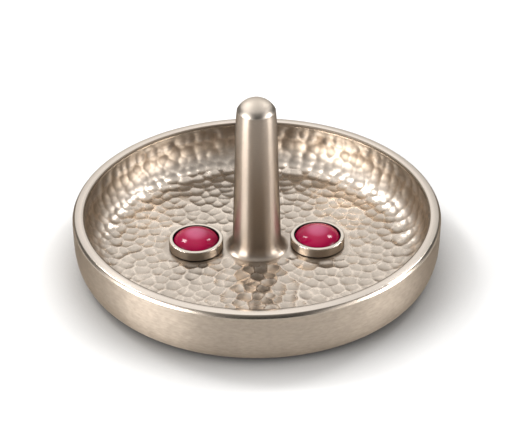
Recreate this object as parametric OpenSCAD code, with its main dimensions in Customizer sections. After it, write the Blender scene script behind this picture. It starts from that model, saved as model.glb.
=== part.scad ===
// Ring dish: a hammered metal dish with a tapered ring post and two domed stones in bezel cups.
// Millimetres, +Z up, origin on the table under the middle of the dish, stones along the X axis.

/* [Dish] */
// Outer diameter of the dish
dish_d = 110; // [98:1:130]
// Height of the rim above the table
rim_h = 18; // [16.5:0.5:28]
// Height of the inside floor above the table
floor_h = 4.4; // [4.2:0.1:5.8]
// Width of the flat lip with its rounded edges
lip_w = 3.5; // [2.5:0.1:6]
// Radius of the lip's outer edge
lip_round = 1; // [0.3:0.1:1.5]
// Radius of the lip's inner edge
lip_ease = 0.4; // [0.1:0.1:0.8]
// How far the outer wall turns in towards the base
turn_w = 7; // [3:0.5:10]
// Height of the outer wall's turned-in part
turn_h = 11.5; // [6:0.5:14]
// How square the turned-in part is, where 2 is an ellipse
turn_power = 2.7; // [2:0.1:4]
// Width of the inner wall's sweep from the floor to the rim
sweep_w = 9.5; // [5:0.5:14]
// Height of the inner wall's sweep
sweep_h = 11; // [6:0.5:12.5]
// Width of the foot ring round the recess for the base disc
foot_w = 5; // [2:0.5:9]

/* [Base disc] */
// Thickness of the rubber base disc
disc_t = 1; // [0.8:0.1:1.5]
// How far the base disc stands out of its recess
disc_proud = 0.3; // [0.1:0.1:0.6]
// Gap round the base disc in its recess
disc_gap = 0.5; // [0.2:0.1:1.5]

/* [Ring post] */
// Diameter of the post where its taper meets the floor
post_foot_d = 14.8; // [13:0.2:20]
// Diameter of the post under its dome
post_tip_d = 11.8; // [8:0.2:14]
// Height of the taper above the floor
post_h = 46.8; // [30:0.2:80]
// Height of the dome on top
dome_h = 3.5; // [1:0.1:5.5]
// How far the flared foot stands out past the taper
flare_w = 2.2; // [1:0.1:5]
// Height of the flared foot
flare_h = 3.6; // [1.5:0.1:8]
// Thickness of the flare's outer edge
flare_edge = 0.3; // [0.1:0.1:0.8]
// Diameter of the spigot that centres the post in the floor
spigot_d = 9; // [7:0.2:12]
// Length of the spigot
spigot_h = 0.6; // [0.3:0.1:0.8]
// Gap between the post's foot and each bezel
bezel_gap = 0.6; // [0.2:0.1:8]

/* [Stones] */
// Diameter of the stones
stone_d = 14; // [10:0.5:18]
// Height of the stone's straight edge
girdle_h = 0.4; // [0.2:0.1:0.8]
// Height of the stone's dome above its straight edge
stone_dome_h = 3.7; // [3.2:0.1:7]
// Bevel round the stone's flat back
stone_bevel = 0.15; // [0.05:0.05:0.2]
// Gap between a stone and its cup all round
stone_fit = 0.15; // [0.05:0.05:0.3]
// Thickness of the backing disc under a stone
backing_t = 0.4; // [0.2:0.1:0.7]

/* [Bezels] */
// Wall of the bezel cup
cup_wall = 1.05; // [0.9:0.05:2]
// Floor of the bezel cup
cup_floor = 0.7; // [0.5:0.1:1]
// Height of the bezel above the dish's floor
bezel_h = 3.1; // [2.9:0.1:3.4]
// Radius of the bezel lip's outer edge
bezel_round = 0.3; // [0.2:0.05:0.65]
// Radius of the bezel lip's inner edge
bezel_ease = 0.3; // [0.1:0.05:0.35]
// Gap between the rolled lip and the stone
lip_gap = 0.04; // [0.02:0.01:0.15]
// Height of the rolled part of the lip
roll_h = 0.9; // [0.6:0.1:1]
// Diameter of the boss under the cup
boss_d = 5; // [4:0.1:8]
// Length of the boss
boss_h = 1.2; // [0.6:0.1:1.5]

/* [Screws] */
// Diameter of the screw in the post
post_screw_d = 5; // [4:0.5:6]
// Head diameter of the screw in the post
post_head_d = 9.2; // [8:0.2:9.6]
// Length of the post screw's thread inside the post
post_grip = 12.6; // [6:0.2:20]
// Size across the flats of the post screw's socket
post_key = 3; // [2:0.5:3.5]
// Diameter of the screw in a bezel
bezel_screw_d = 2.5; // [2:0.1:3]
// Head diameter of the screw in a bezel
bezel_head_d = 4.7; // [4:0.1:5]
// Length of the bezel screw's thread above the dish's floor
bezel_grip = 0.4; // [0.1:0.1:0.4]
// Size across the flats of the bezel screw's socket
bezel_key = 1.5; // [0.9:0.1:1.5]
// Rim of a screw head before its cone starts
head_rim = 0.2; // [0.1:0.05:0.3]
// Gap round threads, cones and spigots
fit = 0.05; // [0.02:0.01:0.1]

/* [Hidden] */
// Colours as the photograph shows them
nickel = [0.69, 0.65, 0.60];
polished = [0.80, 0.77, 0.73];
raspberry = [0.72, 0.08, 0.27];
foil = [0.85, 0.84, 0.82];
steel = [0.55, 0.56, 0.58];
rubber = [0.10, 0.10, 0.11];

$fn = 96;
curve_steps = 18;
edge_steps = 6;

// Dish
dish_r = dish_d / 2;
mouth_r = dish_r - lip_w;
floor_r = mouth_r - sweep_w;
base_r = dish_r - turn_w;
recess_r = base_r - foot_w;
foot_z = disc_proud;
turn_z = foot_z + turn_h;

// Post
tip_z = floor_h + post_h;
flare_z = floor_h + flare_edge + flare_h;
flare_r = post_foot_d / 2 + flare_w;
waist_r = post_foot_d / 2 + (post_tip_d - post_foot_d) / 2 * (flare_z - floor_h) / post_h;
dome_r = (pow(post_tip_d / 2, 2) + pow(dome_h, 2)) / (2 * dome_h);
dome_angle = asin(post_tip_d / 2 / dome_r);
drill_space = 2;
drill_angle = 59;

// Bezels and stones
bore_r = stone_d / 2 + stone_fit;
bezel_r = bore_r + cup_wall;
bezel_x = flare_r + bezel_gap + bezel_r;
lip_z = floor_h + bezel_h;
stone_z = floor_h + cup_floor + backing_t;
hold_z = lip_z - roll_h;
hold_r = stone_r_at(hold_z) + lip_gap;

// Screws: both heads lie just inside the recess for the base disc
head_z = disc_t + fit;
post_screw_l = floor_h + post_grip - head_z;
bezel_screw_l = floor_h + bezel_grip - head_z;
socket_share = 0.55;
hex_corner = 2 / sqrt(3);
tip_chamfer = 0.1;

// Points of a quarter curve about a centre, from its side (t = 0) to its top or bottom (t = 90)
function quarter(cx, cy, w, h, power = 2, steps = curve_steps) = [
    for (i = [0 : steps])
        let (t = 90 * i / steps)
        [cx + w * pow(cos(t), 2 / power), cy + h * pow(sin(t), 2 / power)]
];

function backwards(points) = [for (i = [len(points) - 1 : -1 : 0]) points[i]];

// Radius of the stone at a height above the table
function stone_r_at(z) = stone_d / 2 * sqrt(1 - pow(max(0, z - stone_z - girdle_h) / stone_dome_h, 2));

// Height of a countersunk cone of 90 degrees between two diameters
function cone_h(head_d, shank_d) = (head_d - shank_d) / 2;

module at_left() {
    translate([-bezel_x, 0, 0]) children();
}

module at_right() {
    translate([bezel_x, 0, 0]) children();
}

// Half section of the dish, from the middle of its underside round to the middle of its floor
module dish_section() {
    polygon(concat(
        [[0, disc_t], [recess_r, disc_t], [recess_r, foot_z]],
        backwards(quarter(base_r, turn_z, turn_w, -turn_h, turn_power)),
        quarter(dish_r - lip_round, rim_h - lip_round, lip_round, lip_round, steps = edge_steps),
        backwards(quarter(mouth_r + lip_ease, rim_h - lip_ease, -lip_ease, lip_ease, steps = edge_steps)),
        quarter(floor_r, floor_h + sweep_h, sweep_w, -sweep_h),
        [[0, floor_h]]
    ));
}

// Seat, clearance hole and countersink for a piece that is screwed down from below
module seat_cut(seat_d, seat_h, screw_d, head_d) {
    wide = head_d + 2 * fit;
    hole = screw_d + 2 * fit;
    translate([0, 0, floor_h - seat_h]) cylinder(d = seat_d, h = seat_h + 1);
    translate([0, 0, disc_t - 1]) cylinder(d = hole, h = floor_h);
    translate([0, 0, disc_t - 1]) cylinder(d = wide, h = 1 + fit + head_rim);
    translate([0, 0, head_z + head_rim]) cylinder(d1 = wide, d2 = hole, h = cone_h(head_d, screw_d));
}

module bezel_seat_cut() {
    seat_cut(boss_d + 2 * fit, boss_h + fit, bezel_screw_d, bezel_head_d);
}

// Cast dish with a flat lip, a recess below and the three seats in its floor
module dish_body() {
    color(nickel) difference() {
        rotate_extrude() dish_section();
        seat_cut(spigot_d + 2 * fit, spigot_h + fit, post_screw_d, post_head_d);
        at_left() bezel_seat_cut();
        at_right() bezel_seat_cut();
    }
}

// Rubber disc that the dish stands on, over the screw heads
module base_disc() {
    color(rubber) cylinder(r = recess_r - disc_gap, h = disc_t);
}

// Half section of the post: spigot, flared foot, taper and domed top
module post_section() {
    polygon(concat(
        [[0, floor_h - spigot_h], [spigot_d / 2, floor_h - spigot_h], [spigot_d / 2, floor_h], [flare_r, floor_h]],
        backwards(quarter(flare_r, flare_z, waist_r - flare_r, -flare_h)),
        [for (i = [0 : edge_steps * 2])
            let (a = dome_angle * (1 - i / edge_steps / 2))
            [dome_r * sin(a), tip_z + dome_h - dome_r * (1 - cos(a))]]
    ));
}

// Turned post that rings are dropped over, tapped from below for its screw
module ring_post() {
    hole_r = post_screw_d / 2 + fit;
    hole_top = floor_h + post_grip + drill_space;
    color(nickel) difference() {
        rotate_extrude() post_section();
        translate([0, 0, floor_h - spigot_h - 1]) cylinder(r = hole_r, h = hole_top - floor_h + spigot_h + 1);
        translate([0, 0, hole_top]) cylinder(r1 = hole_r, r2 = 0, h = hole_r / tan(drill_angle));
    }
}

// Countersunk screw with a hex socket, head down
module screw(screw_d, head_d, length, key) {
    cone_top = head_rim + cone_h(head_d, screw_d);
    color(steel) translate([0, 0, head_z]) difference() {
        rotate_extrude() polygon([
            [0, 0],
            [head_d / 2, 0],
            [head_d / 2, head_rim],
            [screw_d / 2, cone_top],
            [screw_d / 2, length - tip_chamfer],
            [screw_d / 2 - tip_chamfer, length],
            [0, length]
        ]);
        translate([0, 0, -1]) cylinder(d = key * hex_corner, h = 1 + cone_top * socket_share, $fn = 6);
    }
}

module post_screw() {
    screw(post_screw_d, post_head_d, post_screw_l, post_key);
}

// Half section of a bezel cup with its boss, its bore and its rolled lip
module bezel_section() {
    polygon(concat(
        [[0, floor_h - boss_h], [boss_d / 2, floor_h - boss_h], [boss_d / 2, floor_h], [bezel_r, floor_h]],
        quarter(bezel_r - bezel_round, lip_z - bezel_round, bezel_round, bezel_round, steps = edge_steps),
        backwards(quarter(hold_r + bezel_ease, lip_z - bezel_ease, -bezel_ease, bezel_ease, steps = edge_steps)),
        [[hold_r, hold_z], [bore_r, hold_z - bore_r + hold_r]],
        [[bore_r, floor_h + cup_floor], [0, floor_h + cup_floor]]
    ));
}

// Turned cup that holds a stone, tapped through for its screw
module bezel() {
    color(polished) difference() {
        rotate_extrude() bezel_section();
        translate([0, 0, floor_h - boss_h - 1]) cylinder(r = bezel_screw_d / 2 + fit, h = boss_h + cup_floor + 2);
    }
}

// Thin bright disc that sets the stone's height in its cup
module backing() {
    color(foil) translate([0, 0, floor_h + cup_floor]) cylinder(r = bore_r - stone_fit, h = backing_t);
}

// Domed round stone with a flat back
module stone() {
    stone_r = stone_d / 2;
    color(raspberry) translate([0, 0, stone_z]) rotate_extrude() polygon(concat(
        [[0, 0], [stone_r - stone_bevel, 0], [stone_r, stone_bevel]],
        quarter(0, girdle_h, stone_r, stone_dome_h)
    ));
}

module bezel_screw() {
    screw(bezel_screw_d, bezel_head_d, bezel_screw_l, bezel_key);
}

module bezel_left() {
    at_left() bezel();
}

module bezel_right() {
    at_right() bezel();
}

module backing_left() {
    at_left() backing();
}

module backing_right() {
    at_right() backing();
}

module stone_left() {
    at_left() stone();
}

module stone_right() {
    at_right() stone();
}

module bezel_screw_left() {
    at_left() bezel_screw();
}

module bezel_screw_right() {
    at_right() bezel_screw();
}

dish_body();
base_disc();
ring_post();
post_screw();
bezel_left();
bezel_right();
backing_left();
backing_right();
stone_left();
stone_right();
bezel_screw_left();
bezel_screw_right();
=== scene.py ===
# %% [markdown]
# # A ring dish of hammered nickel
# This lesson dresses a small jewellery dish: a thick cast dish with a satin outside, a polished
# lip and a hammered inside, a turned post for rings, and two raspberry-red stones in bezel cups.
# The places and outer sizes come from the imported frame, so each new mesh is modelled around it
# and never the other way round.

# %% Load the frame
import math
import random

import bpy
import numpy as np
from mathutils import Matrix, Vector
from mathutils.kdtree import KDTree


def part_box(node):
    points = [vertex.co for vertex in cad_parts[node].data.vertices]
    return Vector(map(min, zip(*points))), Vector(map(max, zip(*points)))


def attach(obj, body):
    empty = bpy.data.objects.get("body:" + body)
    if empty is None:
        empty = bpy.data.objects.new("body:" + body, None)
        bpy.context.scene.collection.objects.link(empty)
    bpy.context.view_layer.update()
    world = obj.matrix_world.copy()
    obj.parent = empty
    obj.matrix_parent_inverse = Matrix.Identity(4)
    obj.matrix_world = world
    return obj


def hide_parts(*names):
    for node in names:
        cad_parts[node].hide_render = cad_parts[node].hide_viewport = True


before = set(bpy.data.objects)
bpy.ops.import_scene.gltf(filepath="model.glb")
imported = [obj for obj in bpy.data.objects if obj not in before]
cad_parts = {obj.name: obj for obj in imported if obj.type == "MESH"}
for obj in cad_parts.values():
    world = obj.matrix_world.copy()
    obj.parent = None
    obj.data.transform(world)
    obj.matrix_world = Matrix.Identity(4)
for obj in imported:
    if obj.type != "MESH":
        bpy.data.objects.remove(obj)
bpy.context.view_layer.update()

MM = 0.001
TURN = 2 * math.pi

# %% [markdown]
# ## Sizes
# A node's box says how wide and how tall the real piece is. The sizes that a box can't give, such
# as the width of the lip or the roundness of an edge, are written here once, in millimetres.

# %% Sizes from the frame
dish_low, dish_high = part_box("dish_body")
post_low, post_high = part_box("ring_post")
disc_low, disc_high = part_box("base_disc")
cup_low, cup_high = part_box("bezel_left")
stone_low, stone_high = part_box("stone_left")

dish_r = dish_high.x
rim_z = dish_high.z
foot_z = dish_low.z
disc_r = disc_high.x
disc_top = disc_high.z
flare_r = post_high.x
spigot_z = post_low.z
post_top = post_high.z
cup_r = (cup_high.x - cup_low.x) / 2
cup_top = cup_high.z
boss_z = cup_low.z
cup_x = abs(cup_high.x + cup_low.x) / 2
stone_r = (stone_high.x - stone_low.x) / 2
stone_z, stone_top = stone_low.z, stone_high.z
print("dish radius", round(dish_r / MM, 2), "post top", round(post_top / MM, 2), "cups at", round(cup_x / MM, 2))

# %% Sizes that a box can't give
floor_z = 4.4 * MM
lip_w = 3.5 * MM
lip_round = 1.0 * MM
lip_ease = 0.4 * MM
turn_w, turn_h, turn_power = 7.0 * MM, 11.5 * MM, 2.7
sweep_w, sweep_h = 9.5 * MM, 11.0 * MM
foot_w = 5.0 * MM
mouth_r = dish_r - lip_w
floor_r = mouth_r - sweep_w
recess_r = dish_r - turn_w - foot_w

# %% [markdown]
# ## Helpers for lathe work
# Every metal piece here is round, so each starts as half a section: one vertex of a plane, drawn
# out point by point with Extrude and swept round the Z axis with Spin, as a turner follows a
# template. Spinning an eighth and doubling it three times is much quicker than one long spin. The
# seams are welded and the normals are made to agree before anything else is done.


# %% Helpers for lathe work
def deselect():
    """Nothing selected, so that the next operator only acts on what is made next."""
    if bpy.context.object and bpy.context.object.mode != "OBJECT":
        bpy.ops.object.mode_set(mode="OBJECT")
    bpy.ops.object.select_all(action="DESELECT")


def take(piece):
    """Makes a piece the only one selected, and the active one."""
    deselect()
    piece.select_set(True)
    bpy.context.view_layer.objects.active = piece


def lathe(name, section, steps, weld=0.002 * MM):
    """Turns a section, a list of (radius, height) points, round the Z axis: an eighth, then three doublings."""
    deselect()
    bpy.ops.mesh.primitive_plane_add(size=MM, location=(0, 0, 0))
    piece = bpy.context.object
    piece.name = piece.data.name = name
    bpy.ops.object.mode_set(mode="EDIT")
    bpy.ops.mesh.select_mode(type="VERT")
    bpy.ops.mesh.merge(type="CENTER")
    r, z = section[0]
    bpy.ops.transform.translate(value=(r, 0, z))
    for r_next, z_next in section[1:]:
        step = (r_next - r, 0, z_next - z)
        bpy.ops.mesh.extrude_region_move(TRANSFORM_OT_translate={"value": step})
        r, z = r_next, z_next
    bpy.ops.mesh.select_all(action="SELECT")
    bpy.ops.mesh.spin(steps=steps // 8, angle=TURN / 8, center=(0, 0, 0), axis=(0, 0, 1))
    for share in (8, 4, 2):
        bpy.ops.mesh.select_all(action="SELECT")
        bpy.ops.mesh.duplicate()
        bpy.ops.transform.rotate(value=TURN / share, orient_axis="Z", center_override=(0, 0, 0))
    bpy.ops.mesh.select_all(action="SELECT")
    bpy.ops.mesh.remove_doubles(threshold=weld)
    bpy.ops.mesh.normals_make_consistent(inside=False)
    bpy.ops.object.mode_set(mode="OBJECT")
    return piece


def quarter(centre, half_w, half_h, power=2, steps=12):
    """A quarter curve about a centre, from its side to its top or bottom, as the CAD draws it."""
    points = []
    for i in range(steps + 1):
        t = math.pi / 2 * i / steps
        c, s = max(0.0, math.cos(t)), math.sin(t)
        points.append((centre[0] + half_w * c ** (2 / power), centre[1] + half_h * s ** (2 / power)))
    return points


def even(points, spacing):
    """The same path, with points at even steps along it."""
    path = np.array(points)
    along = np.concatenate([[0], np.cumsum(np.hypot(*np.diff(path, axis=0).T))])
    count = max(2, round(along[-1] / spacing))
    at = np.linspace(0, along[-1], count + 1)
    return list(zip(np.interp(at, along, path[:, 0]), np.interp(at, along, path[:, 1])))


def points_of(piece):
    """The piece's vertices as an array, in metres."""
    flat = np.empty(len(piece.data.vertices) * 3)
    piece.data.vertices.foreach_get("co", flat)
    return flat.reshape(-1, 3)


def move_points(piece, points):
    """Writes an array of places back to the piece's vertices."""
    piece.data.vertices.foreach_set("co", points.reshape(-1))
    piece.data.update()


def smooth(piece, degrees=35):
    """Smooth shading, with an edge kept wherever the surface turns by more than so many degrees."""
    take(piece)
    bpy.ops.object.shade_smooth_by_angle(angle=math.radians(degrees))


def tell(piece):
    triangles = sum(len(face.vertices) - 2 for face in piece.data.polygons)
    print(piece.name, len(piece.data.vertices), "vertices", triangles, "triangles")


# %% [markdown]
# ## The inside of the dish
# On the real dish a smith works round the inside with a domed hammer. Each blow leaves a shallow
# dent, and where two dents meet a soft ridge stands between them. The dents could be a bump map,
# but they break up every reflection and show along the edge of the wall, so they are real shape
# here. The inside is turned first as a fine smooth bowl.

# %% Turn the smooth inside
MESH_STEP = 0.45 * MM
INSIDE_STEPS = 640
seat_r = 9.2 * MM

wall_top = (mouth_r, rim_z - lip_ease - MESH_STEP)
curve_in = quarter((floor_r, floor_z + sweep_h), sweep_w, -sweep_h, steps=60)
bowl_path = even([wall_top] + curve_in + [(seat_r, floor_z)], MESH_STEP)
bowl_path += [(seat_r / 2, floor_z), (0, floor_z)]
bowl = lathe("bowl_inside", bowl_path, INSIDE_STEPS)
tell(bowl)

# %% [markdown]
# ## The hammer blows
# The blows are laid out as a smith lays them: ring after ring, from the post to the rim, each a
# little off its place and with its own depth. Every vertex then sinks by the deepest dent over
# it. A dent is part of a sphere, so its depth falls off with the square of the distance from its
# middle, and two dents meet in a ridge. The dents fade out under the lip and near the seats of
# the post and the cups, which stay flat as a seat must.

# %% Lay out the blows
BLOW_GAP, ROW_GAP = 3.8 * MM, 3.3 * MM
BALL_R = (6.5 * MM, 10.5 * MM)
BLOW_DEPTH = (0.28 * MM, 0.48 * MM)
first_row_r = 9.5 * MM

smith = random.Random(11)
row_path = even([(first_row_r, floor_z), (floor_r, floor_z)] + curve_in[::-1] + [wall_top], ROW_GAP)
blows = []
for r, z in row_path:
    count = round(TURN * r / BLOW_GAP)
    start = smith.uniform(0, TURN)
    for i in range(count):
        angle = start + TURN * (i + smith.uniform(-0.38, 0.38)) / count
        out = r + smith.uniform(-0.36, 0.36) * ROW_GAP
        up = smith.uniform(-0.25, 0.25) * ROW_GAP * (z - floor_z) / sweep_h
        place = (out * math.cos(angle), out * math.sin(angle), z + up)
        blows.append((place, smith.uniform(*BALL_R), smith.uniform(*BLOW_DEPTH)))
print(len(blows), "hammer blows")


# %% Sink the dents
def step_up(value, low, high):
    """0 below low, 1 above high, and a smooth rise between them."""
    t = np.clip((value - low) / (high - low), 0, 1)
    return t * t * (3 - 2 * t)


def inside_normals(points):
    """The smooth bowl's normals at points on it, pointing into the open."""
    radius = np.maximum(np.hypot(points[:, 0], points[:, 1]), 0.001 * MM)
    out = np.maximum(radius - floor_r, 0) / sweep_w ** 2
    up = np.minimum(points[:, 2] - floor_z - sweep_h, 0) / sweep_h ** 2
    size = np.maximum(np.hypot(out, up), 1e-9)
    return np.stack([-out / size * points[:, 0] / radius, -out / size * points[:, 1] / radius, -up / size], axis=1)


def dents(points, softness=0.012 * MM, ridge=0.09 * MM):
    """How deep each point sinks, and how near it is to a ridge between two dents, from 0 to 1."""
    tree = KDTree(len(points))
    for i, point in enumerate(points):
        tree.insert(point, i)
    tree.balance()
    deepest, second = np.zeros(len(points)), np.zeros(len(points))
    for place, ball, depth in blows:
        reach = math.sqrt(2 * ball * depth)
        for _, i, away in tree.find_range(place, reach):
            sinks = depth - away * away / (2 * ball)
            if sinks > deepest[i]:
                deepest[i], second[i] = sinks, deepest[i]
            elif sinks > second[i]:
                second[i] = sinks
    apart = deepest - second
    return deepest + softness * np.log1p(np.exp(-apart / softness)), np.exp(-apart / ridge)


def hammer(piece):
    """Sinks the dents into the bowl, and returns how near each vertex is to a ridge."""
    points = points_of(piece)
    sunk, crest = dents(points)
    calm = step_up(np.hypot(points[:, 0], points[:, 1]), flare_r - 0.1 * MM, flare_r + 2.4 * MM)
    calm *= 1 - step_up(points[:, 2], rim_z - 2.2 * MM, rim_z - 0.9 * MM)
    for side in (-1, 1):
        from_cup = np.hypot(points[:, 0] - side * cup_x, points[:, 1])
        calm *= step_up(from_cup, cup_r + 0.2 * MM, cup_r + 3.2 * MM)
    move_points(piece, points - inside_normals(points) * (sunk * calm)[:, None])
    return crest * calm


crest = hammer(bowl)
print("deepest blow in mm", round(max(blow[2] for blow in blows) / MM, 2))

# %% [markdown]
# ## The lip, the outer wall and the underside
# These are turned from one template that goes on where the inside ends: over the lip, down the
# wall, in under the dish and across the recess for the base disc. Short extra points beside each
# rounded edge hold the flats flat when the surface is shaded smooth.

# %% Turn the outside
SUPPORT = 0.12 * MM
FOOT_EDGE = 0.25 * MM
OUTSIDE_STEPS = 256

LIP_FALL, TOP_SHARE, EASE_IN = 0.16 * MM, 0.36, 0.40 * MM
BREAK_W, BREAK_H, BREAK_POWER = 0.72 * MM, 1.2 * MM, 1.25


def crown(inner_r, outer_r, top, steps=10):
    """The lip's top, highest near its inner edge, and falling a little towards both edges."""
    points = []
    for i in range(steps + 1):
        share = i / steps
        off = (share - TOP_SHARE) / (1 - TOP_SHARE) if share > TOP_SHARE else (TOP_SHARE - share) / TOP_SHARE
        points.append((inner_r + (outer_r - inner_r) * share, top - LIP_FALL * off * off))
    return points


lip_top = crown(mouth_r + EASE_IN, dish_r - BREAK_W, rim_z)
lip_inner = quarter((mouth_r + EASE_IN, rim_z - lip_ease), -EASE_IN, lip_ease - LIP_FALL, steps=6)
lip_outer = quarter((dish_r - BREAK_W, rim_z - BREAK_H), BREAK_W, BREAK_H - LIP_FALL, BREAK_POWER, steps=12)
lip_outer = lip_outer[::-1]
turn = quarter((dish_r - turn_w, foot_z + turn_h), turn_w, -turn_h, turn_power, steps=22)
foot = quarter((recess_r + FOOT_EDGE, foot_z + FOOT_EDGE), -FOOT_EDGE, -FOOT_EDGE, steps=4)[::-1]
outside_path = (
    lip_inner
    + lip_top[1:-1]
    + lip_outer
    + [(dish_r, rim_z - BREAK_H - SUPPORT), (dish_r, foot_z + turn_h + SUPPORT)]
    + turn
    + [(dish_r - turn_w - SUPPORT, foot_z), (recess_r + FOOT_EDGE + SUPPORT, foot_z)]
    + foot
    + [(recess_r, disc_top - SUPPORT), (recess_r, disc_top), (recess_r - SUPPORT, disc_top)]
    + [(recess_r / 2, disc_top), (0, disc_top)]
)
outside = lathe("dish_outside", outside_path, OUTSIDE_STEPS)
tell(outside)

# %% [markdown]
# The inside has far more steps round than the outside needs, so the two are turned apart. They are
# joined into one mesh, and the open rings that face each other are closed with Bridge Edge Loops.


# %% Join two turned pieces with a bridge
def select_ring(piece, ring, slack=0.02 * MM):
    """Selects the edges of the ring of vertices at a (radius, height)."""
    verts = points_of(piece)
    near = abs(np.hypot(verts[:, 0], verts[:, 1]) - ring[0]) < slack
    near &= abs(verts[:, 2] - ring[1]) < slack
    for edge in piece.data.edges:
        if near[edge.vertices[0]] and near[edge.vertices[1]]:
            edge.select = True


def bridge(first, second, name, ring_a, ring_b):
    """Joins the second piece into the first, and closes the gap between two open rings."""
    take(first)
    second.select_set(True)
    bpy.ops.object.join()
    first.name = first.data.name = name
    bpy.ops.object.mode_set(mode="EDIT")
    bpy.ops.mesh.select_mode(type="EDGE")
    bpy.ops.mesh.select_all(action="DESELECT")
    bpy.ops.object.mode_set(mode="OBJECT")
    select_ring(first, ring_a)
    select_ring(first, ring_b)
    bpy.ops.object.mode_set(mode="EDIT")
    bpy.ops.mesh.bridge_edge_loops()
    bpy.ops.mesh.select_all(action="SELECT")
    bpy.ops.mesh.normals_make_consistent(inside=False)
    bpy.ops.object.mode_set(mode="OBJECT")
    return first


dish = bridge(bowl, outside, "dish", wall_top, outside_path[0])
crest_layer = dish.data.attributes.new("crest", "FLOAT", "POINT")
crest_values = np.zeros(len(dish.data.vertices))
crest_values[: len(crest)] = crest
crest_layer.data.foreach_set("value", crest_values)
tell(dish)
# %% [markdown]
# ## The ring post
# The post is turned from bar: a flared foot that sweeps into a slim taper, a fine edge, and a low
# dome that rings slide over. A spigot below centres it in the dish, and the blind hole with its
# drill point takes the screw. The edge under the dome is only just broken, because the photograph
# shows a hard change of light there.

# %% Turn the post
POST_STEPS = 160
TIP_EASE = 0.25 * MM
taper_foot_r, taper_tip_r, dome_h = 7.4 * MM, 5.9 * MM, 3.5 * MM
flare_edge, flare_h = 0.3 * MM, 3.6 * MM
spigot_r, screw_r, hole_top, drill_point = 4.5 * MM, 2.55 * MM, 19.0 * MM, 1.53 * MM
tip_z = post_top - dome_h
flare_z = floor_z + flare_edge + flare_h
waist_r = taper_foot_r + (taper_tip_r - taper_foot_r) * (flare_z - floor_z) / (tip_z - floor_z)
crease_r = taper_tip_r - TIP_EASE
dome_r = (crease_r ** 2 + dome_h ** 2) / (2 * dome_h)
edge_angle = math.asin(crease_r / dome_r)

FEATHER = 0.06 * MM
flare = quarter((flare_r, flare_z), waist_r - flare_r, floor_z + FEATHER - flare_z, steps=18)[::-1]
taper = []
for share in (0.004, 0.1, 0.2, 0.3, 0.4, 0.5, 0.6, 0.7, 0.8, 0.86, 0.91, 0.95, 0.98, 0.995, 1.0):
    eased = TIP_EASE * max(0.0, (share - 0.86) / 0.14) ** 2
    taper.append((waist_r + (taper_tip_r - waist_r) * share - eased, flare_z + (tip_z - flare_z) * share))
dome = []
for i in range(1, 25):
    angle = edge_angle * (1 - i / 24) if i > 1 else edge_angle * 0.985
    dome.append((dome_r * math.sin(angle), post_top - dome_r * (1 - math.cos(angle))))
post_path = (
    [(0, hole_top + drill_point), (screw_r, hole_top), (screw_r, spigot_z), (spigot_r, spigot_z)]
    + [(spigot_r, floor_z), (flare_r - SUPPORT, floor_z), (flare_r, floor_z + FEATHER / 2)]
    + flare
    + taper
    + dome
)
post = lathe("post", post_path, POST_STEPS)
tell(post)

# %% [markdown]
# ## The bezel cups
# A bezel is a turned cup whose thin wall is rolled in over the stone. Its lip has a soft outer edge
# and stands a hair above the stone's side, and that narrow groove, painted near black as painted
# shade, draws the dark line round each stone. One cup is turned, then copied and moved to the other side.

# %% Turn the cups
CUP_STEPS = 128
bore_r, cup_floor_z = 7.15 * MM, 5.1 * MM
cup_round, cup_ease, hold_z = 0.3 * MM, 0.3 * MM, cup_top - 0.9 * MM
boss_r, cup_hole_r, cup_foot = 2.5 * MM, 1.3 * MM, 0.3 * MM
girdle_h, lip_gap = 0.4 * MM, 0.04 * MM
stone_dome_h = stone_top - stone_z - girdle_h
hold_r = stone_r * math.sqrt(1 - ((hold_z - stone_z - girdle_h) / stone_dome_h) ** 2) + lip_gap
print("the lip holds the stone at radius", round(hold_r / MM, 3))


cup_path = (
    [(cup_hole_r, cup_floor_z), (cup_hole_r, boss_z), (boss_r, boss_z), (boss_r, floor_z)]
    + [(cup_r - cup_foot - SUPPORT, floor_z), (cup_r - cup_foot, floor_z), (cup_r, floor_z + cup_foot)]
    + [(cup_r, floor_z + cup_foot + SUPPORT), (cup_r, cup_top - cup_round - SUPPORT)]
    + quarter((cup_r - cup_round, cup_top - cup_round), cup_round, cup_round, steps=6)
    + quarter((hold_r + cup_ease, cup_top - cup_ease), -cup_ease, cup_ease, steps=6)[::-1]
    + [(hold_r, hold_z), (bore_r, hold_z - bore_r + hold_r), (bore_r, cup_floor_z), (cup_hole_r, cup_floor_z)]
)
cup = lathe("cup", cup_path, CUP_STEPS)


def copy_to(piece, name, x):
    """A copy of a piece with its own mesh, its place moved into the mesh."""
    take(piece)
    bpy.ops.object.duplicate()
    double = bpy.context.object
    double.name = double.data.name = name
    double.data.transform(Matrix.Translation((x, 0, 0)))
    return double


cups = [copy_to(cup, "cup_left", -cup_x), copy_to(cup, "cup_right", cup_x)]
bpy.data.objects.remove(cup)
tell(cups[0])

# %% [markdown]
# ## The stones
# Each stone is a cabochon: a round stone with a flat back and a smooth dome, cut and polished by
# eye. It is turned in the same way, with many rings near its side, where a coarse mesh would show
# in the reflections.

# %% Turn the stones
STONE_STEPS = 128
stone_bevel = 0.15 * MM
stone_path = (
    [(0, stone_z), (stone_r - stone_bevel - SUPPORT, stone_z), (stone_r - stone_bevel, stone_z)]
    + [(stone_r, stone_z + stone_bevel)]
    + quarter((0, stone_z + girdle_h), stone_r, stone_dome_h, steps=40)
)
stone = lathe("stone", stone_path, STONE_STEPS)
stones = [copy_to(stone, "stone_left_dressed", -cup_x), copy_to(stone, "stone_right_dressed", cup_x)]
bpy.data.objects.remove(stone)
tell(stones[0])

# %% [markdown]
# ## The base disc
# A thin rubber disc lies in the recess below and keeps the metal off the table. It is die-cut, so
# its edges are nearly sharp, with only a little softness.

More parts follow.
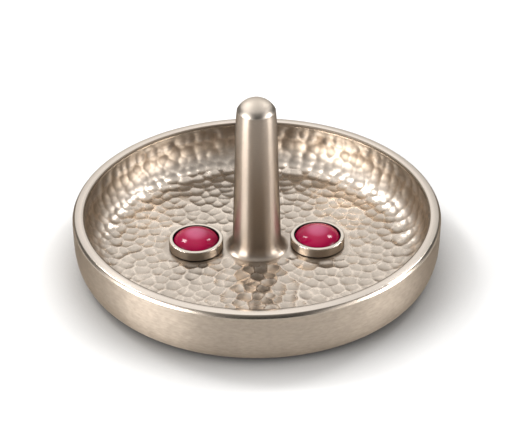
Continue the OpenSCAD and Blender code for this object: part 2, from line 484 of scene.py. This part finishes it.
# %% Turn the base disc
disc_edge = 0.15 * MM
disc_path = (
    [(0, 0), (disc_r - disc_edge - SUPPORT, 0), (disc_r - disc_edge, 0)]
    + [(disc_r, disc_edge), (disc_r, disc_top - disc_edge), (disc_r - disc_edge, disc_top)]
    + [(disc_r - disc_edge - SUPPORT, disc_top), (0, disc_top)]
)
disc = lathe("rubber_disc", disc_path, OUTSIDE_STEPS)
tell(disc)
# %% [markdown]
# ## Grain that follows the tool
# A surface that was finished on a lathe carries fine marks that run round its axis, and they smear
# every reflection up and down. Two things make that look. A node group draws the marks on Object
# coordinates divided by the distance from the axis, so that they close on themselves with no seam.
# The shader's anisotropy does the smearing, turned a quarter so that it runs across the marks.


# %% Small helpers for node trees
def socket(group, name, way, kind, value=None):
    made = group.interface.new_socket(name=name, in_out=way, socket_type=kind)
    if value is not None:
        made.default_value = value
    return made


def node(tree, kind, x=0, y=0, **settings):
    made = tree.nodes.new(kind)
    made.location = (x, y)
    for key, value in settings.items():
        setattr(made, key, value)
    return made


def math_node(tree, operation, first, second=None, third=None, clamp=False):
    """A Math node whose inputs are sockets or plain numbers."""
    made = node(tree, "ShaderNodeMath", operation=operation, use_clamp=clamp)
    for i, value in enumerate((first, second, third)):
        if value is None:
            continue
        if isinstance(value, (int, float)):
            made.inputs[i].default_value = value
        else:
            tree.links.new(value, made.inputs[i])
    return made.outputs[0]


def vector_node(tree, operation, first, second=None):
    """A Vector Math node whose inputs are sockets or plain vectors."""
    made = node(tree, "ShaderNodeVectorMath", operation=operation)
    for i, value in enumerate((first, second)):
        if value is None:
            continue
        if isinstance(value, (tuple, list)):
            made.inputs[i].default_value = value
        else:
            tree.links.new(value, made.inputs[i])
    return made.outputs["Value" if operation == "LENGTH" else "Vector"]


def noise(tree, vector, scale, detail=3.0, roughness=0.55):
    """A noise with values around 0.5."""
    made = node(tree, "ShaderNodeTexNoise")
    made.inputs["Scale"].default_value = scale
    made.inputs["Detail"].default_value = detail
    made.inputs["Roughness"].default_value = roughness
    tree.links.new(vector, made.inputs["Vector"])
    return made.outputs["Fac"]


# %% Group: tool grain
def make_tool_grain():
    """Fine marks round the Z axis, with values around 0.5."""
    group = bpy.data.node_groups.new("tool_grain", "ShaderNodeTree")
    socket(group, "Place", "INPUT", "NodeSocketVector")
    socket(group, "Fine Marks", "INPUT", "NodeSocketFloat", 6000.0)
    socket(group, "Mark Breaks", "INPUT", "NodeSocketFloat", 5.0)
    socket(group, "Marks", "OUTPUT", "NodeSocketFloat")
    start = node(group, "NodeGroupInput", -900, 0)
    end = node(group, "NodeGroupOutput", 600, 0)
    flat = vector_node(group, "MULTIPLY", start.outputs["Place"], (1.0, 1.0, 0.0))
    radius = vector_node(group, "LENGTH", flat)
    unit = vector_node(group, "NORMALIZE", flat)
    split = node(group, "ShaderNodeSeparateXYZ")
    group.links.new(start.outputs["Place"], split.inputs[0])
    along = math_node(group, "MULTIPLY", math_node(group, "ADD", split.outputs["Z"], radius), start.outputs["Fine Marks"])
    lift = node(group, "ShaderNodeCombineXYZ")
    group.links.new(along, lift.inputs["Z"])
    turned = vector_node(group, "SCALE", unit)
    group.links.new(start.outputs["Mark Breaks"], turned.node.inputs["Scale"])
    group.links.new(noise(group, vector_node(group, "ADD", turned, lift.outputs[0]), 1.0, 4.0, 0.6), end.inputs["Marks"])
    return group


tool_grain = make_tool_grain()

# %% [markdown]
# ## Wear and handling
# Plated nickel is never one even colour. Handling leaves broad, faint patches that are a little
# warmer and duller, and the finest pits and dust give it a grain. The second group holds both, and
# every metal uses it with its own strength.


# %% Group: handling
def make_handling():
    """Broad patches and fine specks, both from 0 to 1."""
    group = bpy.data.node_groups.new("handling", "ShaderNodeTree")
    socket(group, "Place", "INPUT", "NodeSocketVector")
    socket(group, "Patch Scale", "INPUT", "NodeSocketFloat", 45.0)
    socket(group, "Speck Scale", "INPUT", "NodeSocketFloat", 2500.0)
    socket(group, "Patches", "OUTPUT", "NodeSocketFloat")
    socket(group, "Specks", "OUTPUT", "NodeSocketFloat")
    start = node(group, "NodeGroupInput", -700, 0)
    end = node(group, "NodeGroupOutput", 500, 0)
    broad = vector_node(group, "SCALE", start.outputs["Place"])
    broad_node = broad.node
    group.links.new(start.outputs["Patch Scale"], broad_node.inputs["Scale"])
    fine = vector_node(group, "SCALE", start.outputs["Place"])
    group.links.new(start.outputs["Speck Scale"], fine.node.inputs["Scale"])
    group.links.new(noise(group, broad, 1.0, 4.0, 0.6), end.inputs["Patches"])
    group.links.new(noise(group, fine, 1.0, 2.0, 0.7), end.inputs["Specks"])
    return group


handling = make_handling()


# %% A metal material
def use_group(tree, group, place, **values):
    made = node(tree, "ShaderNodeGroup", node_tree=group)
    tree.links.new(place, made.inputs["Place"])
    for name, value in values.items():
        made.inputs[name.replace("_", " ")].default_value = value
    return made


def around(tree, value, middle, spread):
    """middle + (value - 0.5) * spread"""
    return math_node(tree, "MULTIPLY_ADD", value, spread, middle - spread / 2)


def blank(name):
    """A new material with its tree, its Principled shader and its Object coordinates."""
    material = bpy.data.materials.new(name)
    material.use_nodes = True
    tree = material.node_tree
    shader = tree.nodes["Principled BSDF"]
    place = node(tree, "ShaderNodeTexCoord", -1400, 0).outputs["Object"]
    return material, tree, shader, place


def tint(tree, colour, value, low, high):
    """The colour times a factor that runs from low to high as the value goes from 0 to 1."""
    factor = math_node(tree, "MULTIPLY_ADD", value, high - low, low)
    scaled = node(tree, "ShaderNodeVectorMath", operation="SCALE")
    if isinstance(colour, (tuple, list)):
        scaled.inputs[0].default_value = colour[:3]
    else:
        tree.links.new(colour, scaled.inputs[0])
    tree.links.new(factor, scaled.inputs["Scale"])
    return scaled.outputs[0]


def bump(tree, height, strength, distance, normal=None):
    made = node(tree, "ShaderNodeBump")
    made.inputs["Strength"].default_value = strength
    made.inputs["Distance"].default_value = distance
    tree.links.new(height, made.inputs["Height"])
    if normal is not None:
        tree.links.new(normal, made.inputs["Normal"])
    return made.outputs["Normal"]


NICKEL = (0.60, 0.525, 0.45)
# Nickel painted darker, used as painted shade on the upper inside wall.
SHADED_WALL_COLOUR = (0.37, 0.298, 0.230)


def metal(name, colour, rough, rough_spread=0.06, fine=6000.0, breaks=5.0, depth=0.004 * MM, patchy=0.05, brushed=0.0, edge=0.25):
    """A worked metal: its colour, its roughness, and marks that run round its axis, as a lathe leaves them."""
    material, tree, shader, place = blank(name)
    grain = use_group(tree, tool_grain, place, Fine_Marks=fine, Mark_Breaks=breaks)
    hands = use_group(tree, handling, place)
    paint = tint(tree, colour, hands.outputs["Patches"], 1 - patchy, 1 + patchy)
    paint = tint(tree, paint, grain.outputs["Marks"], 1 - patchy, 1 + patchy)
    tree.links.new(paint, shader.inputs["Base Color"])
    roughness = around(tree, grain.outputs["Marks"], rough, rough_spread)
    roughness = math_node(tree, "ADD", roughness, around(tree, hands.outputs["Patches"], 0.0, rough_spread / 2))
    tree.links.new(roughness, shader.inputs["Roughness"])
    tree.links.new(bump(tree, grain.outputs["Marks"], 0.5, depth), shader.inputs["Normal"])
    shader.inputs["Metallic"].default_value = 1.0
    shader.inputs["Anisotropic"].default_value = brushed
    shader.inputs["Anisotropic Rotation"].default_value = 0.25 if brushed else 0.0
    shader.inputs["Specular Tint"].default_value = (edge, edge * 0.93, edge * 0.86, 1)
    return material


# The same nickel is given different colours by finish: the polished lip and cup rims are painted lighter than the plain
# nickel, and the satin outer wall, the lip's outer rounding, the post shaft and the cup walls darker, a painted
# highlight on the tops and painted shade on the sides; the roughness is the real difference of finish.
satin_wall = metal("satin_nickel_wall", (0.43, 0.362, 0.295), 0.42, 0.14, fine=1500.0, breaks=30.0, depth=0.04 * MM, patchy=0.30, brushed=0.78)
polished_lip = metal("polished_nickel_lip", (0.75, 0.668, 0.588), 0.20, 0.05, fine=3000.0, depth=0.002 * MM, patchy=0.05, brushed=0.85, edge=0.4)
# Painted shade: a dark brown on the lip's inner rounding, where it turns down into the dish.
lip_edge_painted_shade = metal("painted_shade_lip_edge", (0.22, 0.18, 0.14), 0.5, depth=0.004 * MM)
lip_break = metal("polished_nickel_break", (0.56, 0.48, 0.40), 0.26, 0.04, fine=2200.0, depth=0.001 * MM, patchy=0.04, edge=0.1)
post_satin = metal("satin_nickel_post", (0.50, 0.422, 0.35), 0.33, 0.06, fine=3500.0, depth=0.003 * MM, patchy=0.12, brushed=0.92)
post_polished = metal("polished_nickel_post", (0.61, 0.54, 0.465), 0.33, 0.04, depth=0.002 * MM, patchy=0.03, edge=0.15)
cup_satin = metal("satin_nickel_cup", (0.55, 0.465, 0.38), 0.40, 0.06, fine=3000.0, depth=0.002 * MM, patchy=0.08, brushed=0.75, edge=0.12)
cup_polished = metal("polished_nickel_cup", (0.76, 0.68, 0.59), 0.22, 0.03, depth=0.001 * MM, patchy=0.02)
# Painted shade: near black on the faces in the groove round the stone and in the ring at the cup's foot, where shadow
# falls.
cup_painted_shade = metal("painted_shade_cup_groove", (0.035, 0.030, 0.026), 0.5, depth=0.004 * MM)
under_metal = metal("cast_nickel_underside", NICKEL, 0.45, depth=0.01 * MM)


def rougher_above(material, low, high, more):
    """Adds roughness as the height goes from low to high, where hands and rings have rubbed a top."""
    tree = material.node_tree
    shader = tree.nodes["Principled BSDF"]
    height = node(tree, "ShaderNodeSeparateXYZ")
    tree.links.new(node(tree, "ShaderNodeTexCoord").outputs["Object"], height.inputs[0])
    rise = node(tree, "ShaderNodeMapRange", interpolation_type="SMOOTHSTEP")
    rise.inputs["From Min"].default_value = low
    rise.inputs["From Max"].default_value = high
    rise.inputs["To Max"].default_value = more
    tree.links.new(height.outputs["Z"], rise.inputs["Value"])
    rough = shader.inputs["Roughness"].links[0].from_socket
    tree.links.new(math_node(tree, "ADD", rise.outputs[0], rough), shader.inputs["Roughness"])


rougher_above(post_polished, tip_z + 0.9 * MM, tip_z + 2.2 * MM, 0.24)

# %% [markdown]
# ## The hammered finish
# Between the ridges the hammer's face leaves a faint grain, and the ridges themselves are rubbed
# smoother by cloth and rings and painted paler, partly as wear and partly as a painted highlight
# along each ridge. The dents stored how near each vertex is to a ridge, so the material can read
# that as an attribute and make the ridges paler and smoother.

# %% Hammered nickel
hammered, tree, shader, place = blank("hammered_nickel")
ridge = node(tree, "ShaderNodeAttribute", attribute_name="crest").outputs["Fac"]
hands = use_group(tree, handling, place, Patch_Scale=120.0, Speck_Scale=1800.0)
height = node(tree, "ShaderNodeSeparateXYZ")
tree.links.new(place, height.inputs[0])
# Painted shade: the inside wall is painted darker than the floor as it rises from 1.6 to 6 mm above the floor.
wall_shade_rise = node(tree, "ShaderNodeMapRange", interpolation_type="SMOOTHSTEP")
wall_shade_rise.inputs["From Min"].default_value = floor_z + 1.6 * MM
wall_shade_rise.inputs["From Max"].default_value = floor_z + 6.0 * MM
tree.links.new(height.outputs["Z"], wall_shade_rise.inputs["Value"])
soft = node(tree, "ShaderNodeMapRange", interpolation_type="SMOOTHSTEP")
soft.inputs["From Min"].default_value = floor_z - 0.2 * MM
soft.inputs["From Max"].default_value = floor_z + 3.2 * MM
tree.links.new(height.outputs["Z"], soft.inputs["Value"])
floor_to_shaded_wall = node(tree, "ShaderNodeMix", data_type="RGBA")
floor_to_shaded_wall.inputs["A"].default_value = (0.59, 0.515, 0.44, 1)
floor_to_shaded_wall.inputs["B"].default_value = (*SHADED_WALL_COLOUR, 1)
tree.links.new(wall_shade_rise.outputs[0], floor_to_shaded_wall.inputs["Factor"])
paint = tint(tree, floor_to_shaded_wall.outputs["Result"], hands.outputs["Patches"], 0.86, 1.14)
paint = tint(tree, paint, hands.outputs["Specks"], 0.78, 1.22)
# Ridges painted up to a third paler: partly wear, partly a painted highlight.
paint = tint(tree, paint, ridge, 0.94, 1.32)
tree.links.new(paint, shader.inputs["Base Color"])
rough = around(tree, hands.outputs["Specks"], 0.30, 0.10)
rough = math_node(tree, "MULTIPLY_ADD", soft.outputs[0], 0.18, rough)
tree.links.new(math_node(tree, "MULTIPLY_ADD", ridge, -0.08, rough), shader.inputs["Roughness"])
tree.links.new(bump(tree, hands.outputs["Specks"], 0.5, 0.012 * MM), shader.inputs["Normal"])
shader.inputs["Metallic"].default_value = 1.0
shader.inputs["Specular Tint"].default_value = (0.4, 0.37, 0.34, 1)

# %% [markdown]
# ## The stones' raspberry red
# The stones are opaque, glossy and strongly coloured. Their own colour is deep, with faint clouds
# in it, and the polish is a clear coat over a slightly soft surface: the coat gives the small
# sharp lights. The pale bloom near the top is a painted reflection: the red is painted paler there.

# %% Raspberry stone
stone_paint, tree, shader, place = blank("raspberry_stone")
hands = use_group(tree, handling, place, Patch_Scale=260.0, Speck_Scale=1500.0)
height = node(tree, "ShaderNodeSeparateXYZ")
tree.links.new(place, height.inputs[0])
# Painted reflection: the red turns paler towards the very top, where a soft bloom is painted in.
painted_bloom_rise = node(tree, "ShaderNodeMapRange", interpolation_type="SMOOTHSTEP")
painted_bloom_rise.inputs["From Min"].default_value = stone_top - 0.65 * MM
painted_bloom_rise.inputs["From Max"].default_value = stone_top
tree.links.new(height.outputs["Z"], painted_bloom_rise.inputs["Value"])
berry_and_painted_bloom = node(tree, "ShaderNodeMix", data_type="RGBA")
berry_and_painted_bloom.inputs["A"].default_value = (0.37, 0.001, 0.050, 1)
berry_and_painted_bloom.inputs["B"].default_value = (0.49, 0.080, 0.170, 1)
tree.links.new(painted_bloom_rise.outputs[0], berry_and_painted_bloom.inputs["Factor"])
tree.links.new(tint(tree, berry_and_painted_bloom.outputs["Result"], hands.outputs["Patches"], 0.85, 1.12), shader.inputs["Base Color"])
tree.links.new(around(tree, hands.outputs["Specks"], 0.30, 0.05), shader.inputs["Roughness"])
shader.inputs["Specular IOR Level"].default_value = 0.0
shader.inputs["Coat Weight"].default_value = 1.0
shader.inputs["Coat Roughness"].default_value = 0.11
shader.inputs["Coat IOR"].default_value = 1.38

# %% [markdown]
# ## Rubber, foil and steel
# The base disc, the backing discs and the screws are hardly seen, but whoever turns the dish over
# or takes it apart sees them, so they get plain finishes of their own.

# %% Rubber, foil and steel
rubber, tree, shader, place = blank("black_rubber")
hands = use_group(tree, handling, place, Patch_Scale=60.0, Speck_Scale=900.0)
tree.links.new(tint(tree, (0.035, 0.034, 0.033), hands.outputs["Patches"], 0.8, 1.3), shader.inputs["Base Color"])
tree.links.new(around(tree, hands.outputs["Specks"], 0.75, 0.2), shader.inputs["Roughness"])
tree.links.new(bump(tree, hands.outputs["Specks"], 0.5, 0.04 * MM), shader.inputs["Normal"])
foil = metal("backing_foil", (0.85, 0.84, 0.82), 0.22, depth=0.002 * MM)
screw_steel = metal("zinc_steel", (0.56, 0.57, 0.58), 0.35, depth=0.003 * MM)

# %% [markdown]
# ## Which finish goes where
# One casting carries several finishes: a satin wall, a lip polished on a wheel, and the hammered
# inside. Each becomes a material slot, and each face picks its slot by its own place.


# %% Give the faces their finishes
def face_places(piece):
    """The faces' middles and normals as arrays."""
    count = len(piece.data.polygons)
    middle, normal = np.empty(count * 3), np.empty(count * 3)
    piece.data.polygons.foreach_get("center", middle)
    piece.data.polygons.foreach_get("normal", normal)
    return middle.reshape(-1, 3), normal.reshape(-1, 3)


def finish_faces(piece, materials, choose):
    """Fills the slots, and gives each face the slot that choose(radius, height) returns."""
    piece.data.materials.clear()
    for material in materials:
        piece.data.materials.append(material)
    middle, _ = face_places(piece)
    index = choose(np.hypot(middle[:, 0] - piece["centre_x"], middle[:, 1]), middle[:, 2])
    piece.data.polygons.foreach_set("material_index", index.astype(np.int32))
    piece.data.update()


def dish_finish(r, z):
    index = np.zeros(len(r))
    index[(r < mouth_r + 0.001 * MM) & (z > floor_z - 0.6 * MM)] = 1
    index[(z > rim_z - lip_ease - MESH_STEP) & (r > mouth_r - 0.01 * MM)] = 2
    index[(z > rim_z - BREAK_H) & (r > mouth_r)] = 2
    index[(z > rim_z - BREAK_H) & (r > dish_r - BREAK_W)] = 4
    # The inner rounding of the lip gets the painted shade.
    index[(z > rim_z - lip_ease - MESH_STEP) & (r < mouth_r + EASE_IN)] = 5
    index[(z < foot_z + 0.6 * MM) & (r < dish_r - turn_w + 1 * MM) | (r < recess_r + 0.1 * MM) & (z < disc_top + 0.1 * MM)] = 3
    return index


def post_finish(r, z):
    index = np.zeros(len(r))
    index[z > tip_z - 0.2 * MM] = 1
    return index


def cup_finish(r, z):
    index = np.zeros(len(r))
    index[z > cup_top - cup_round] = 1
    # The groove round the stone and the ring at the foot get the painted shade.
    index[(r < hold_r + 0.2 * MM) & (z > cup_floor_z)] = 2
    index[(z < floor_z + cup_foot) & (r > cup_r - cup_foot)] = 2
    return index


dish["centre_x"], post["centre_x"], disc["centre_x"] = 0.0, 0.0, 0.0
finish_faces(dish, [satin_wall, hammered, polished_lip, under_metal, lip_break, lip_edge_painted_shade], dish_finish)
finish_faces(post, [post_satin, post_polished], post_finish)
for side, piece in zip((-1, 1), cups):
    piece["centre_x"] = side * cup_x
    finish_faces(piece, [cup_satin, cup_polished, cup_painted_shade], cup_finish)
for piece in stones:
    piece.data.materials.append(stone_paint)
disc.data.materials.append(rubber)

for piece in [dish, post, disc] + cups + stones:
    smooth(piece)

# %% [markdown]
# ## Tie the pieces to the frame
# Each new mesh rides on the frame's one body and takes the place of its CAD node, which is hidden.
# The screws and the backing discs keep their CAD shapes, which are right as they are, and only get
# their materials.

# %% Tie the pieces to the frame
dressed = [
    (dish, "dish_body", "cast_dish"),
    (post, "ring_post", "turned_post"),
    (disc, "base_disc", "rubber"),
    (cups[0], "bezel_left", "bezel_metal"),
    (cups[1], "bezel_right", "bezel_metal"),
    (stones[0], "stone_left", "red_glass"),
    (stones[1], "stone_right", "red_glass"),
]
for piece, name, finish in dressed:
    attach(piece, "root")
    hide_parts(name)
kept = {
    "post_screw": screw_steel,
    "bezel_screw_left": screw_steel,
    "bezel_screw_right": screw_steel,
    "backing_left": foil,
    "backing_right": foil,
}
for name, material in kept.items():
    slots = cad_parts[name].data.materials
    slots.clear()
    slots.append(material)

# %% [markdown]
# ## The table and the studio
# A small metal thing shows the room more than it shows itself, so the room is part of its look. A
# white table lies below. Two soft boxes stand left and right and make the pairs of bright spots on
# the post, the dome and the stones. The far side is bright, and the side that the camera stands on
# is dark, which gives the dark band along the lip and the dark streak down the post.


# %% The table
SEEN_LIFT = 0.04
FAR_LIFT = 0.5
# How far out the painted shadow round the dish reaches.
SHADE_REACH = 14 * MM
# Where, and how much, the table is painted darker in reflections.
TABLE_EDGE = (0.10, 0.24)
FAR_DARK_IN_REFLECTIONS = 0.7


def make_table(size=6.0):
    """A plain pale floor that keeps the shadow and shows nearly white to the camera. To the camera it also carries a
    painted shadow near the dish, and in reflections it is painted darker far off.
    """
    deselect()
    bpy.ops.mesh.primitive_plane_add(size=size, location=(0, 0, -0.02 * MM))
    table = bpy.context.object
    table.name = table.data.name = "table"
    material, tree, shader, place = blank("white_table")
    shader.inputs["Roughness"].default_value = 0.9
    shader.inputs["Specular IOR Level"].default_value = 0.1
    shader.inputs["Emission Color"].default_value = (1, 1, 1, 1)
    path = node(tree, "ShaderNodeLightPath")
    # Painted shadow: to camera rays the table's colour is darkened by an occlusion reading leant towards the back, so
    # it is darkest in front of the dish; other rays see no painted shadow.
    painted_contact_shadow = node(tree, "ShaderNodeAmbientOcclusion", samples=8)
    painted_contact_shadow.inputs["Distance"].default_value = SHADE_REACH
    painted_contact_shadow.inputs["Normal"].default_value = (0, 0.86, 0.5)
    depth = math_node(tree, "MULTIPLY", path.outputs["Is Camera Ray"], 1.15)
    depth = math_node(tree, "POWER", painted_contact_shadow.outputs["AO"], depth)
    away = node(tree, "ShaderNodeVectorMath", operation="LENGTH")
    tree.links.new(place, away.inputs[0])
    # Painted reflection: to glossy rays the table is painted darker from 10 to 24 cm out.
    edge = node(tree, "ShaderNodeMapRange", interpolation_type="SMOOTHSTEP")
    edge.inputs["From Min"].default_value, edge.inputs["From Max"].default_value = TABLE_EDGE
    edge.inputs["To Max"].default_value = FAR_DARK_IN_REFLECTIONS
    tree.links.new(away.outputs["Value"], edge.inputs["Value"])
    dark = math_node(tree, "MULTIPLY", edge.outputs[0], path.outputs["Is Glossy Ray"])
    depth = math_node(tree, "MULTIPLY", depth, math_node(tree, "SUBTRACT", 1.0, dark))
    tree.links.new(tint(tree, (0.88, 0.875, 0.867), depth, 0.0, 1.0), shader.inputs["Base Color"])
    far = node(tree, "ShaderNodeMapRange", interpolation_type="SMOOTHSTEP")
    far.inputs["From Min"].default_value = 0.25
    far.inputs["From Max"].default_value = 1.5
    far.inputs["To Max"].default_value = FAR_LIFT
    tree.links.new(away.outputs["Value"], far.inputs["Value"])
    far_seen = math_node(tree, "MULTIPLY", far.outputs[0], path.outputs["Is Camera Ray"])
    seen = math_node(tree, "MAXIMUM", path.outputs["Is Camera Ray"], path.outputs["Is Glossy Ray"])
    lift = math_node(tree, "MULTIPLY", seen, SEEN_LIFT)
    tree.links.new(math_node(tree, "ADD", lift, far_seen), shader.inputs["Emission Strength"])
    see_through = node(tree, "ShaderNodeMixShader")
    tree.links.new(node(tree, "ShaderNodeNewGeometry").outputs["Backfacing"], see_through.inputs[0])
    tree.links.new(shader.outputs[0], see_through.inputs[1])
    tree.links.new(node(tree, "ShaderNodeBsdfTransparent").outputs[0], see_through.inputs[2])
    tree.links.new(see_through.outputs[0], tree.nodes["Material Output"].inputs["Surface"])
    table.data.materials.append(material)
    return table


table = make_table()


# %% The lights
def soft_box(name, towards, away, size, radiance, colour=(1, 1, 1)):
    """A square lamp that looks at the dish. Its power follows from how bright its face should be."""
    data = bpy.data.lights.new(name, "AREA")
    data.shape = "RECTANGLE"
    data.size, data.size_y = size
    data.energy = radiance * math.pi * size[0] * size[1]
    data.color = colour
    lamp = bpy.data.objects.new(name, data)
    bpy.context.scene.collection.objects.link(lamp)
    direction = Vector(towards).normalized()
    lamp.location = direction * away + Vector((0, 0, 0.02))
    lamp.rotation_euler = direction.to_track_quat("Z", "Y").to_euler()
    return lamp


soft_box("box_left", (-0.87, -0.46, 0.24), 0.8, (0.46, 0.30), 14.0)
soft_box("box_right", (0.93, -0.24, 0.24), 0.8, (0.36, 0.30), 9.0)
soft_box("key_left", (-0.52, 0.40, 0.75), 0.8, (0.18, 0.18), 20.0)
soft_box("key_right", (0.55, 0.44, 0.71), 0.8, (0.14, 0.18), 19.0)


# %% The world
ABOVE = 1.52
GLOWS = [
    ((0.0, 1.0, 0.0), 0.5, 1.0, 0.35),
    ((0.0, 0.0, -1.0), 0.15, 0.8, 0.9),
    ((-0.70, 0.12, 0.71), 0.72, 0.97, 0.38),
    ((0.56, 0.22, 0.80), 0.76, 0.97, 0.16),
    ((-0.90, -0.42, 0.06), 0.72, 1.0, 2.3),
    ((0.92, -0.38, 0.06), 0.72, 1.0, 2.1),
]


def facing(tree, way, towards):
    """The cosine of the angle between a direction and another one."""
    near = node(tree, "ShaderNodeVectorMath", operation="DOT_PRODUCT")
    near.inputs[1].default_value = Vector(towards).normalized()
    tree.links.new(way, near.inputs[0])
    return near.outputs["Value"]


def make_world():
    """White to the camera. To the metal: brightest above and behind, dark on the camera's side."""
    world = bpy.data.worlds.new("studio")
    bpy.context.scene.world = world
    world.use_nodes = True
    tree = world.node_tree
    tree.nodes.clear()
    out = node(tree, "ShaderNodeOutputWorld", 800, 0)
    way = node(tree, "ShaderNodeTexCoord", -900, 0).outputs["Generated"]
    share = node(tree, "ShaderNodeMapRange")
    share.inputs["From Min"].default_value = 0.0
    tree.links.new(facing(tree, way, (-0.14, 0.46, 0.88)), share.inputs["Value"])
    above = math_node(tree, "POWER", share.outputs[0], 1.5)
    across = facing(tree, way, (1.0, 0.0, 0.0))
    narrow = math_node(tree, "MULTIPLY_ADD", math_node(tree, "ABSOLUTE", across), -1.15, 1.0, clamp=True)
    level = math_node(tree, "MULTIPLY_ADD", math_node(tree, "MULTIPLY", above, narrow), ABOVE, 0.03)
    for towards, low, high, strength in GLOWS:
        glow = node(tree, "ShaderNodeMapRange", interpolation_type="SMOOTHSTEP")
        glow.inputs["From Min"].default_value = low
        glow.inputs["From Max"].default_value = high
        glow.inputs["To Max"].default_value = strength
        tree.links.new(facing(tree, way, towards), glow.inputs["Value"])
        level = math_node(tree, "ADD", level, glow.outputs[0])
    studio = node(tree, "ShaderNodeBackground")
    tree.links.new(level, studio.inputs["Strength"])
    white = node(tree, "ShaderNodeBackground")
    white.inputs["Color"].default_value = (1, 1, 1, 1)
    white.inputs["Strength"].default_value = 1.0
    seen = node(tree, "ShaderNodeLightPath").outputs["Is Camera Ray"]
    mix = node(tree, "ShaderNodeMixShader")
    tree.links.new(seen, mix.inputs[0])
    tree.links.new(studio.outputs[0], mix.inputs[1])
    tree.links.new(white.outputs[0], mix.inputs[2])
    tree.links.new(mix.outputs[0], out.inputs["Surface"])
    return world


make_world()

# %% [markdown]
# ## The camera
# The camera stands where the photographer's did, found from how wide and how flat the rim's
# ellipse is in the photograph. A long lens a little over half a metre away gives its perspective.

# %% The camera
CAMERA_AZIMUTH, CAMERA_HEIGHT, CAMERA_ROLL = math.radians(-2.35), math.radians(34.25), math.radians(-0.35)
CAMERA_AWAY, LENS, SENSOR = 0.5, 116.5, 36.0
AIM_RIGHT, AIM_UP = -1.14 * MM, 11.68 * MM


def make_camera():
    """A camera that looks at a point beside the origin, and is turned a little about its own axis."""
    a, e = CAMERA_AZIMUTH, CAMERA_HEIGHT
    back = Vector((math.sin(a) * math.cos(e), -math.cos(a) * math.cos(e), math.sin(e)))
    right = Vector((math.cos(a), math.sin(a), 0))
    aim = right * AIM_RIGHT + back.cross(right) * AIM_UP
    data = bpy.data.cameras.new("camera")
    data.lens, data.sensor_width = LENS, SENSOR
    data.clip_start, data.clip_end = 0.01, 20.0
    made = bpy.data.objects.new("camera", data)
    bpy.context.scene.collection.objects.link(made)
    place = back * CAMERA_AWAY
    look = (place - aim).to_track_quat("Z", "Y").to_matrix().to_4x4()
    made.matrix_world = Matrix.Translation(place) @ look @ Matrix.Rotation(CAMERA_ROLL, 4, "Z")
    bpy.context.scene.camera = made
    return made


camera = make_camera()
bpy.context.scene.view_settings.view_transform = "Standard"
